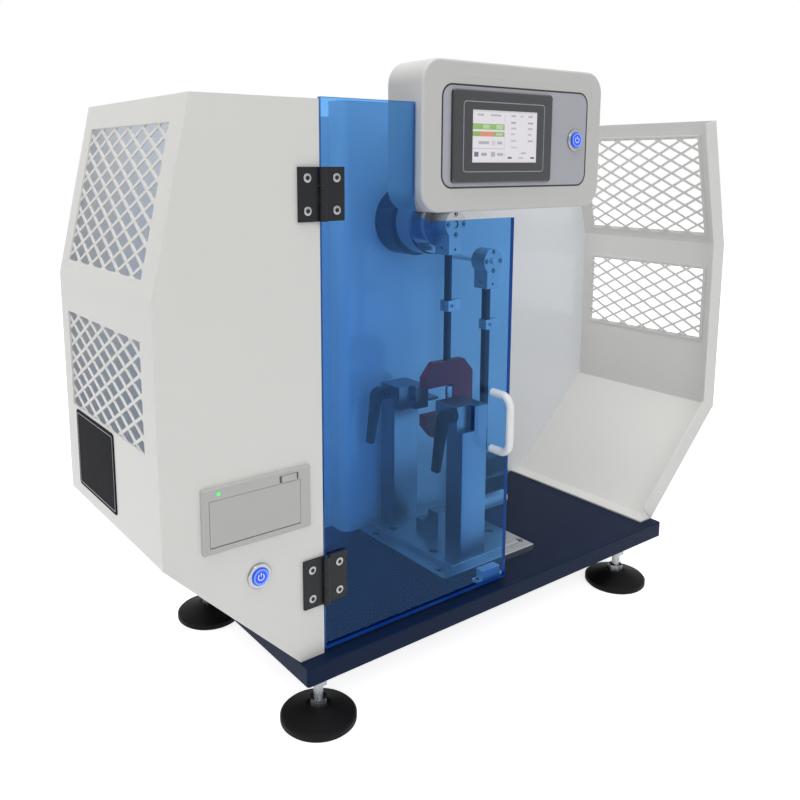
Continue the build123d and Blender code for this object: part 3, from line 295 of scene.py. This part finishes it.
# Pendulum: a turned steel hub and spindle, satin aluminium clamp head and collar, a black carbon rod, and a
# hammer plate enamelled dark red with a ground and hardened striking edge.
ground_steel = machined("ground_steel", "#adb1b6", "#9397a0", 0.26, (1.2, 14, 1.2), 0.03)
turned_steel = machined("turned_steel", "#aaaeb4", "#969aa1", 0.2, (20, 0.9, 20), 0.03)
satin_aluminium = machined("satin_aluminium", "#b3b6ba", "#a0a4a9", 0.32, (1.5, 1.5, 8), 0.02)
black_rod = coated("black_carbon_rod", "#111215", "#1a1b1f", 0.34, 2.0, 0.02, shine=0.35)
hammer_enamel = coated("dark_red_enamel", "#b0202c", "#981a25", 0.36, 3.0, 0.02, shine=0.3)
dress(turned_steel, "pendulum_hub", "spindle", "spindle_bearings")
dress(satin_aluminium, "pendulum_head", "spare_head", "catch_collar", "spare_collar")
dress(black_rod, "pendulum_rod", "spare_rod")
dress(hammer_enamel, "hammer")
dress(ground_steel, "striker", "release_hook", "hinge_pins", "spare_blade")

# Pendulum screws: zinc-plated socket heads sunk in the clamp heads and collars of both pendulums, four on a
# circle that clamp the spindle and smaller ones that grip the rod. Each socket's black hexagon plug is painted
# shade.


def turned(name, profile, origin, direction, body, material, count=24):
    """Pieces turned about an axis: the profile is (radius, height) pairs, and point i goes round the axis at
    its radius, at its height along the direction from each origin. Several origins give several solids."""
    profile = np.asarray(profile, float)
    along = np.asarray(direction, float)
    helper = np.array([0.0, 0.0, 1.0]) if abs(along[2]) < 0.9 else np.array([1.0, 0.0, 0.0])
    across = np.cross(helper, along)
    across /= np.linalg.norm(across)
    beside = np.cross(along, across)
    angle = np.linspace(0, 2 * np.pi, count, endpoint=False)
    around = np.cos(angle)[:, None] * across + np.sin(angle)[:, None] * beside
    solid = profile[:, 0, None, None] * around[None] + profile[:, 1, None, None] * along
    origins = np.atleast_2d(np.asarray(origin, float))
    points = (origins[:, None, None, :] + solid[None]).reshape(-1, 3)
    rows = len(profile)
    i, j = np.meshgrid(np.arange(rows - 1), np.arange(count), indexing="ij")
    after = (j + 1) % count
    quads = np.stack([i * count + j, i * count + after, (i + 1) * count + after, (i + 1) * count + j], axis=-1)
    faces = []
    for start in range(len(origins)):
        offset = start * rows * count
        faces += (quads.reshape(-1, 4) + offset).tolist()
        faces.append(np.arange(offset, offset + count)[::-1].tolist())
        faces.append(np.arange(offset + (rows - 1) * count, offset + rows * count).tolist())
    mesh = bpy.data.meshes.new(name)
    mesh.from_pydata(points.tolist(), [], faces)
    mesh.materials.append(material)
    mesh.shade_smooth()
    mesh.update()
    piece = bpy.data.objects.new(name, mesh)
    bpy.context.scene.collection.objects.link(piece)
    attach(piece, body)
    edge = piece.modifiers.new("edge", "EDGE_SPLIT")
    edge.split_angle = np.radians(35)
    return recalculate(piece)


def screws(name, radius, height, places, direction, body):
    """Zinc-plated screw heads of one radius and height at the places, with black socket plugs as painted shade.
    """
    rim = radius * 0.86
    well = radius * 0.52
    shoulder, floor_height = height * 0.7, height * 0.4
    profile = [(radius, 0), (radius, shoulder), (rim, height), (well, height), (well, floor_height),
               (0.01 * mm, floor_height)]
    turned(name, profile, places, direction, body, screw_zinc, 20)
    # The black hexagon plug in each socket is painted shade for the recess.
    plug_radius, plug_top = well * 0.98, height * 0.8
    plug = [(plug_radius, height * 0.45), (plug_radius, plug_top), (0.01 * mm, plug_top)]
    turned(f"{name}_socket_shade_plugs", plug, places, direction, body, black_oxide_and_socket_shade, 6)


# Black oxide steel for the hinges and solenoid; the same dark finish also paints the shade in the screw
# sockets.
black_oxide_and_socket_shade = coated("black_oxide_steel_and_socket_shade", "#15171a", "#1c1e22", 0.4, 1.5, 0.02, shine=0.25)
screw_zinc = machined("zinc_screw", "#a6a8aa", "#8f9194", 0.22, (2, 2, 2), 0.02)
circle_radius = 12.75 * mm
axis_below_top = 17 * mm
grub_below_axis = 31 * mm
side_screw_below_axis = 29 * mm
screw_seat_depth = 4.9 * mm
half_clamp = 11 * mm
for head_name, collar_name, screw_body in (
        ("pendulum_head", "catch_collar", "pendulum"), ("spare_head", "spare_collar", "spare_pendulum")):
    head_low, head_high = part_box(head_name)
    head_x = (head_low[0] + head_high[0]) / 2
    head_y = (head_low[1] + head_high[1]) / 2
    head_z = head_high[2] - axis_below_top
    turns = np.arange(4) * np.pi / 2
    screw_places = np.column_stack([
        head_x + circle_radius * np.cos(turns), np.full(4, head_low[1] + screw_seat_depth),
        head_z + circle_radius * np.sin(turns)])
    screws(f"{head_name}_screws", 3.1 * mm, 4.3 * mm, screw_places, (0, -1, 0), screw_body)
    screws(f"{head_name}_grub", 1.5 * mm, 3.5 * mm,
           [(head_x, head_low[1] + screw_seat_depth, head_z - grub_below_axis)], (0, -1, 0), screw_body)
    screws(f"{head_name}_side_screw", 2.4 * mm, 0.5 * mm,
           [(head_x - half_clamp, head_y, head_z - side_screw_below_axis)], (-1, 0, 0), screw_body)
    collar_low, collar_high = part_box(collar_name)
    screws(f"{head_name}_collar_screw", 2.6 * mm, 0.8 * mm,
           [(head_x, collar_low[1], (collar_low[2] + collar_high[2]) / 2)], (0, -1, 0), screw_body)

# Spindle end: the round nose of the spindle, turned with a small chamfer, closes the working head's bore just
# behind its face.
nose_radius, nose_length, nose_chamfer = 4.6 * mm, 22.6 * mm, 0.6 * mm
pivot_low, pivot_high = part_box("spindle")
turned("spindle_nose", [(nose_radius, 0), (nose_radius, nose_length - nose_chamfer),
                        (nose_radius - nose_chamfer, nose_length), (0.01 * mm, nose_length)],
       [((pivot_low[0] + pivot_high[0]) / 2, pivot_low[1] - 1 * mm, (pivot_low[2] + pivot_high[2]) / 2)],
       (0, -1, 0), "pendulum", turned_steel)

# Spare pendulum: a black enamelled hammer block with a thin steel blade across it, over a white moulded rest on
# the base. The same white plastic, with a low sheen, is moulded for the door's handle and switch.
spare_enamel = coated("black_hammer_enamel", "#23262c", "#1a1c21", 0.32, 3.0, 0.02, coat=0.3)
dress(spare_enamel, "spare_hammer")
white_moulding = coated("white_moulded_plastic", "#f1f1ee", "#e9e9e5", 0.3, 2.0, 0.02, coat=0.15)
dress(white_moulding, "spare_rest", "door_handle", "door_switch")

# Bed, platform, posts, jaws and centring block: mild steel, surface ground along their length and lightly
# oiled, with the grinder's lines drawn at 1 mm so that they show.
bed_steel = machined("surface_ground_bed", "#c6c9cc", "#aeb2b7", 0.3, (14, 1.0, 14), 0.03)
post_steel = machined("surface_ground_post", "#8f949b", "#7d828a", 0.3, (1.2, 1.2, 16), 0.03)
dress(bed_steel, "bed_plate", "platform")
dress(post_steel, "support_posts", "front_jaw", "rear_jaw", "centring_block")

# Bed screws: flat socket screws sunk flush in the bed and the platform, four each.
bed_low, bed_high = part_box("bed_plate")
bed_middle = (bed_low[0] + bed_high[0]) / 2
bed_screw_depth = 4 * mm
bed_screw_places = []
for plate_name, screw_away, screw_rows in (("bed_plate", 67, (-72, 54)), ("platform", 48, (-38, 43))):
    plate_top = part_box(plate_name)[1][2]
    bed_screw_places += [(bed_middle + side * screw_away * mm, row * mm, plate_top - bed_screw_depth)
                         for side in (-1, 1) for row in screw_rows]
screws("bed_screws", 5.7 * mm, 3.6 * mm, bed_screw_places, (0, 0, 1), "frame")

# Clamping levers: black glass-filled nylon arms with a satin moulded skin, on steel studs.
lever_plastic = coated("black_filled_nylon", "#101114", "#16171b", 0.45, 1.5, 0.04, shine=0.2)
dress(lever_plastic, "front_lever", "rear_lever")

# Workings behind the panels: a black moulded encoder and mains inlet, a blackened steel solenoid, and a circuit
# board under green resist.
dark_moulding = coated("black_moulded_plastic", "#202125", "#2a2b30", 0.4, 1.5, 0.03)
dress(dark_moulding, "rotary_encoder", "mains_inlet")
dress(black_oxide_and_socket_shade, "release_solenoid")
dress(coated("green_circuit_board", "#1f6b3c", "#185a31", 0.35, 2.0, 0.02), "controller_board")

# Door: one sheet of 5 mm blue acrylic, polished on its faces and sawn at its rim. Each face tints what is seen
# straight through it and mirrors the room, more so at a slant, in blue because most of that comes back through
# the sheet. The tint is paler for shadow rays, because most light inside comes from above, past the door. The
# cut rim, found by its distance from the sheet's middle, gathers the colour and is a denser blue.
acrylic = blank_material("blue_clear_acrylic")
acrylic_place = add(acrylic, "ShaderNodeTexCoord", {})
acrylic_waves = add(acrylic, "ShaderNodeTexNoise", {"Scale": 1 / (90 * mm), "Detail": 1.0},
                    {"Vector": acrylic_place.outputs["Object"]})
acrylic_ripple = add(acrylic, "ShaderNodeBump", {"Strength": 0.1, "Distance": 0.4 * mm},
                     {"Height": acrylic_waves.outputs["Fac"]})
acrylic_ray = add(acrylic, "ShaderNodeLightPath", {})
acrylic_colour = add(
    acrylic, "ShaderNodeMix", {"data_type": "RGBA", 6: linear("#add9fc"), 7: linear("#dceefc")},
    {0: acrylic_ray.outputs["Is Shadow Ray"]})
acrylic_tint = add(acrylic, "ShaderNodeBsdfTransparent", {}, {"Color": acrylic_colour.outputs[2]})
acrylic_gloss = add(acrylic, "ShaderNodeBsdfGlossy", {"Color": linear("#7fb0ea"), "Roughness": 0.03},
                    {"Normal": acrylic_ripple.outputs[0]})
acrylic_fresnel = add(acrylic, "ShaderNodeFresnel", {"IOR": 1.49})
acrylic_face = add(acrylic, "ShaderNodeMixShader", {}, {
    0: acrylic_fresnel.outputs[0], 1: acrylic_tint.outputs[0], 2: acrylic_gloss.outputs[0]})
door_low, door_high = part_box("door_panel")
rim_depth = 0.15 * mm
acrylic_axes = add(acrylic, "ShaderNodeSeparateXYZ", {}, {0: acrylic_place.outputs["Object"]})
acrylic_centre = [(low + high) / 2 for low, high in zip(door_low, door_high)]
acrylic_sides = []
for axis in (0, 2):
    acrylic_away = add(acrylic, "ShaderNodeMath", {"operation": "SUBTRACT", 1: acrylic_centre[axis]},
                       {0: acrylic_axes.outputs[axis]})
    acrylic_reach = add(acrylic, "ShaderNodeMath", {"operation": "ABSOLUTE"}, {0: acrylic_away.outputs[0]})
    acrylic_sides.append(add(acrylic, "ShaderNodeMath", {
        "operation": "GREATER_THAN", 1: (door_high[axis] - door_low[axis]) / 2 - rim_depth},
        {0: acrylic_reach.outputs[0]}))
acrylic_rim = add(acrylic, "ShaderNodeMath", {"operation": "MAXIMUM"}, {
    0: acrylic_sides[0].outputs[0], 1: acrylic_sides[1].outputs[0]})
acrylic_cut = add(acrylic, "ShaderNodeBsdfPrincipled", {"Base Color": linear("#2f74c4"), "Roughness": 0.2})
acrylic_mix = add(acrylic, "ShaderNodeMixShader", {}, {
    0: acrylic_rim.outputs[0], 1: acrylic_face.outputs[0], 2: acrylic_cut.outputs[0]})
add(acrylic, "ShaderNodeOutputMaterial", {}, {"Surface": acrylic_mix.outputs[0]})
dress(acrylic, "door_panel")

# Hinges: black oxide steel butts, 50 mm square, each leaf held by two zinc-plated socket screws.
dress(black_oxide_and_socket_shade, "hinge_frame_leaves", "hinge_door_leaves")
hinge_low, hinge_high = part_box("hinge_pins")
hinge_x = (hinge_low[0] + hinge_high[0]) / 2
hinge_face = door_low[1] - 3 * mm
hinge_heights = (148, 528)
leaf_screw_away, leaf_screw_rise = 16, 15
for leaf_name, leaf_side, leaf_body in (("frame", -1, "frame"), ("door", 1, "door")):
    leaf_screws = [(hinge_x + leaf_side * leaf_screw_away * mm, hinge_face, (height + rise) * mm)
                   for height in hinge_heights for rise in (-leaf_screw_rise, leaf_screw_rise)]
    screws(f"hinge_{leaf_name}_screws", 4.2 * mm, 0.9 * mm, leaf_screws, (0, -1, 0), leaf_body)

# Console: light grey moulded case, with a silvery printed film on its front plate and a black line round it.
console_plastic = coated("warm_grey_moulding", "#d0cfcb", "#c6c5c2", 0.36, 1.5, 0.03)
dress(console_plastic, "console_housing", "console_faceplate")
film = coated("silver_blue_printed_film", "#b3b4ba", "#abacb3", 0.34, 5.0, 0.01, coat=0.1)
line_black = coated("printed_black_line", "#15171c", "#1b1e24", 0.35, 3.0, 0.01)
film_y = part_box("console_faceplate")[0][1]
line_centre = (-7.5 * mm, 583 * mm)
line_half = (111 * mm, 52.5 * mm)
inlay("console_film", 1, film_y, line_centre, line_half, ((0, 0.9, 13.1), (0.12, 0.9, 13.1)),
      film)
inlay("console_line", 1, film_y, line_centre, line_half,
      ((0, 0, 14), (0.25, 0, 14), (0.25, 1.8, 12.2), (0, 1.8, 12.2)), line_black, cap=False)

# Touch screen: a gloss black bezel with a thin pale line, about glass that is lit from behind. It shows plain
# bars and boxes with no words, laid out as rows, columns and a colour for each.
dress(coated("gloss_black_bezel", "#1a1c20", "#22252a", 0.16, 4.0, 0.01, coat=0.5), "screen_bezel")
bezel_low, bezel_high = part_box("screen_bezel")
bezel_centre = ((bezel_low[0] + bezel_high[0]) / 2, (bezel_low[2] + bezel_high[2]) / 2)
inlay("bezel_line", 1, bezel_low[1], bezel_centre, (60 * mm, 36 * mm),
      ((0, 0, 4), (0.12, 0, 4), (0.12, 1, 3), (0, 1, 3)), plate_line, cap=False)
screen_picture = blank_material("lit_screen_picture")
picture_colour = add(screen_picture, "ShaderNodeAttribute", {"attribute_name": "picture"})
picture_glass = add(screen_picture, "ShaderNodeBsdfPrincipled", {
    "Roughness": 0.12, "Coat Weight": 0.3, "Emission Strength": 0.12},
    {"Base Color": picture_colour.outputs["Color"], "Emission Color": picture_colour.outputs["Color"]})
add(screen_picture, "ShaderNodeOutputMaterial", {}, {"Surface": picture_glass.outputs[0]})
glass_low, glass_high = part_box("screen_glass")
columns, rows = 96, 54
across = np.linspace(glass_low[0], glass_high[0], columns + 1)
down = np.linspace(glass_high[2], glass_low[2], rows + 1)
grid_x, grid_z = np.meshgrid(across, down)
front_y = np.full(grid_x.shape, glass_low[1] - 0.15 * mm)
rear_y = np.full(grid_x.shape, glass_low[1])
pixels = np.tile(np.array(linear("#e8e3e8")), (rows, columns, 1))
for top, bottom, left, right, colour in (
        (0, 2, 0, 96, "#dcd8de"), (4, 6, 7, 16, "#b9b6bd"), (4, 6, 26, 41, "#b9b6bd"),
        (14, 20, 0, 46, "#93bb6b"), (15, 19, 15, 24, "#bcd3a2"), (15, 19, 34, 44, "#bcd3a2"),
        (22, 27, 0, 46, "#8db264"), (22, 27, 11, 31, "#df8f72"), (23, 26, 34, 44, "#b5cf9a"),
        (32, 35, 9, 24, "#b4aeb9"), (31, 36, 28, 33, "#d3cdd7"), (32, 35, 36, 43, "#b4aeb9"),
        (39, 40, 0, 46, "#cfcad2"), (43, 48, 3, 9, "#5d6f92"), (44, 47, 13, 21, "#a49fab"),
        (43, 48, 27, 33, "#aeb2bf"), (44, 47, 36, 45, "#b4aeb9"), (4, 50, 46, 47, "#d6d1d9"),
        (4, 6, 56, 63, "#b9b6bd"), (4, 6, 70, 75, "#cbc7d0"), (4, 6, 82, 89, "#b9b6bd"),
        (11, 13, 56, 63, "#aaa6b0"), (11, 13, 82, 90, "#aaa6b0"), (17, 19, 56, 64, "#c5c1ca"),
        (17, 19, 82, 89, "#b9b6bd"), (23, 25, 56, 62, "#c5c1ca"), (23, 25, 82, 88, "#c5c1ca"),
        (30, 32, 56, 64, "#c5c1ca"), (30, 32, 82, 90, "#b9b6bd"), (37, 39, 56, 66, "#cfcad2"),
        (43, 45, 72, 80, "#b9b6bd"), (48, 50, 52, 58, "#55565f"), (48, 50, 68, 76, "#c5c1ca"),
        (48, 50, 87, 93, "#55565f")):
    pixels[top:bottom, left:right] = linear(colour)
picture_points = np.stack([grid_x, front_y, grid_z], axis=-1).reshape(-1, 3)
picture_back = np.stack([grid_x, rear_y, grid_z], axis=-1).reshape(-1, 3)
i, j = np.meshgrid(np.arange(rows), np.arange(columns), indexing="ij")
corner = i * (columns + 1) + j
below = corner + columns + 1
picture_faces = np.stack([corner, below, below + 1, corner + 1], axis=-1).reshape(-1, 4)
rim_top = np.arange(columns + 1)
rim_right = (np.arange(1, rows + 1)) * (columns + 1) + columns
rim_bottom = rows * (columns + 1) + np.arange(columns - 1, -1, -1)
rim_left = np.arange(rows - 1, 0, -1) * (columns + 1)
rim = np.concatenate([rim_top, rim_right, rim_bottom, rim_left])
rim_next = np.roll(rim, -1)
total = len(picture_points)
rim_faces = np.stack([rim, rim_next, rim_next + total, rim + total], axis=1)
picture_mesh = bpy.data.meshes.new("screen_picture")
picture_mesh.from_pydata(
    np.concatenate([picture_points, picture_back]).tolist(), [],
    picture_faces.tolist() + (picture_faces[:, ::-1] + total).tolist() + rim_faces.tolist())
paint = picture_mesh.attributes.new("picture", "FLOAT_COLOR", "FACE")
paint_values = np.concatenate([pixels.reshape(-1, 4), pixels.reshape(-1, 4),
                               np.tile(np.array(linear("#20242a")), (len(rim), 1))])
paint.data.foreach_set("color", paint_values.astype(np.float32).ravel())
picture_mesh.materials.append(screen_picture)
picture_piece = bpy.data.objects.new("screen_picture", picture_mesh)
bpy.context.scene.collection.objects.link(picture_piece)
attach(picture_piece, "frame")
dress(dark_moulding, "screen_glass")

# Push buttons: polished steel bezels round caps of clear plastic lit blue from inside by a ring lamp.
polished_steel = machined("polished_steel", "#a9abae", "#96999d", 0.14, (6, 6, 6), 0.01)
dress(polished_steel, "button_bezels")


def lit(name, colour, glow, strength, roughness=0.3):
    """Clear plastic lit from inside: its own colour, with the lamp's colour shining through it."""
    material = blank_material(name)
    place = add(material, "ShaderNodeTexCoord", {})
    grain = add(material, "ShaderNodeTexNoise", {"Scale": 1 / (3 * mm)}, {"Vector": place.outputs["Object"]})
    gloss = add(material, "ShaderNodeMapRange", {"To Min": roughness - 0.05, "To Max": roughness + 0.05},
                {"Value": grain.outputs["Fac"]})
    skin = add(material, "ShaderNodeBsdfPrincipled", {
        "Base Color": linear(colour), "Emission Color": linear(glow), "Emission Strength": strength},
        {"Roughness": gloss.outputs[0]})
    add(material, "ShaderNodeOutputMaterial", {}, {"Surface": skin.outputs[0]})
    return material


def arcs_at(x, y, z, turn, profile):
    """Arcs about a cap's centre, one for each (radius, height) in millimetres: points at that radius, for every
    angle in turn, standing that high off the cap's face."""
    return [np.column_stack([x + radius * mm * np.cos(turn), np.full(len(turn), y - height * mm),
                             z + radius * mm * np.sin(turn)]) for radius, height in profile]


blue_cap = lit("lit_blue_cap", "#2847c8", "#2450ff", 0.3)
blue_ring = lit("blue_ring_lamp", "#5f8ef2", "#5590ff", 0.7)
white_sign = lit("white_power_sign", "#c9d4f6", "#b9c8ff", 0.35)
dress(blue_cap, "power_button", "console_button")
for button_name in ("power_button", "console_button"):
    cap_low, cap_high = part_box(button_name)
    cap_x = (cap_low[0] + cap_high[0]) / 2
    cap_z = (cap_low[2] + cap_high[2]) / 2
    ring_turn = np.linspace(0, 2 * np.pi, 40, endpoint=False)
    ring_loops = arcs_at(cap_x, cap_low[1], cap_z, ring_turn, ((6.3, 0), (6.3, 0.3), (7.6, 0.3), (7.6, 0)))
    recalculate(closed_strip(f"{button_name}_ring", ring_loops, button_name, blue_ring,
                             cap=False))
    sign_turn = np.radians(90) + np.linspace(np.radians(38), np.radians(322), 30)
    sign_arcs = arcs_at(cap_x, cap_low[1], cap_z, sign_turn, ((2.6, 0), (2.6, 0.3), (3.5, 0.3), (3.5, 0)))
    sign_loops = np.stack(sign_arcs, axis=1)
    recalculate(closed_strip(f"{button_name}_arc", sign_loops, button_name, white_sign))
    bar = rounded_loop((cap_x, cap_z + 2.6 * mm), 0.45 * mm, 1.7 * mm, 0.4 * mm, 4)
    bar_loops = [np.insert(bar, 1, cap_low[1] - height * mm, axis=1) for height in (0, 0.3)]
    recalculate(closed_strip(f"{button_name}_bar", bar_loops, button_name, white_sign))

# Printer: a light grey moulded frame and lid with a satin skin, and a green ready lamp.
printer_plastic = coated("grey_satin_moulding", "#bfbfbb", "#b6b6b2", 0.4, 1.5, 0.03)
dress(printer_plastic, "printer_housing", "printer_lid", "printer_latch")
dress(coated("thermal_paper", "#f3f3ef", "#ecece6", 0.7, 1.0, 0.02), "paper_roll")
ready_lamp_place = (-371 * mm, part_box("printer_housing")[0][1], 266 * mm)
green_lamp = lit("green_ready_lamp", "#4fc36a", "#4cff78", 0.7)
turned("printer_lamp", [(1.7 * mm, 0), (1.7 * mm, 0.4 * mm), (1.2 * mm, 0.9 * mm), (0.05 * mm, 1.1 * mm)],
       [ready_lamp_place], (0, -1, 0), "frame", green_lamp, 20)

# Door switch: a white moulded body screwed to the base through its two ears.
switch_low, switch_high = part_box("door_switch")
ear_places = [(x, (switch_low[1] + switch_high[1]) / 2, switch_low[2] + 3 * mm)
              for x in (switch_low[0] + 3.5 * mm, switch_high[0] - 3.5 * mm)]
screws("door_switch_screws", 2.6 * mm, 1.4 * mm, ear_places, (0, 0, 1), "frame")

# Lever screws: a small bright screw through each lever's elbow holds it on its stud.
elbow_in = 20 * mm
for lever_name in ("front_lever", "rear_lever"):
    lever_low, lever_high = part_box(lever_name)
    elbow_place = (lever_low[0] + elbow_in, (lever_low[1] + lever_high[1]) / 2, lever_high[2] - 0.1 * mm)
    screws(f"{lever_name}_screw", 2.6 * mm, 0.8 * mm, [elbow_place], (0, 0, 1), lever_name)

bpy.context.scene.view_settings.view_transform = "Standard"
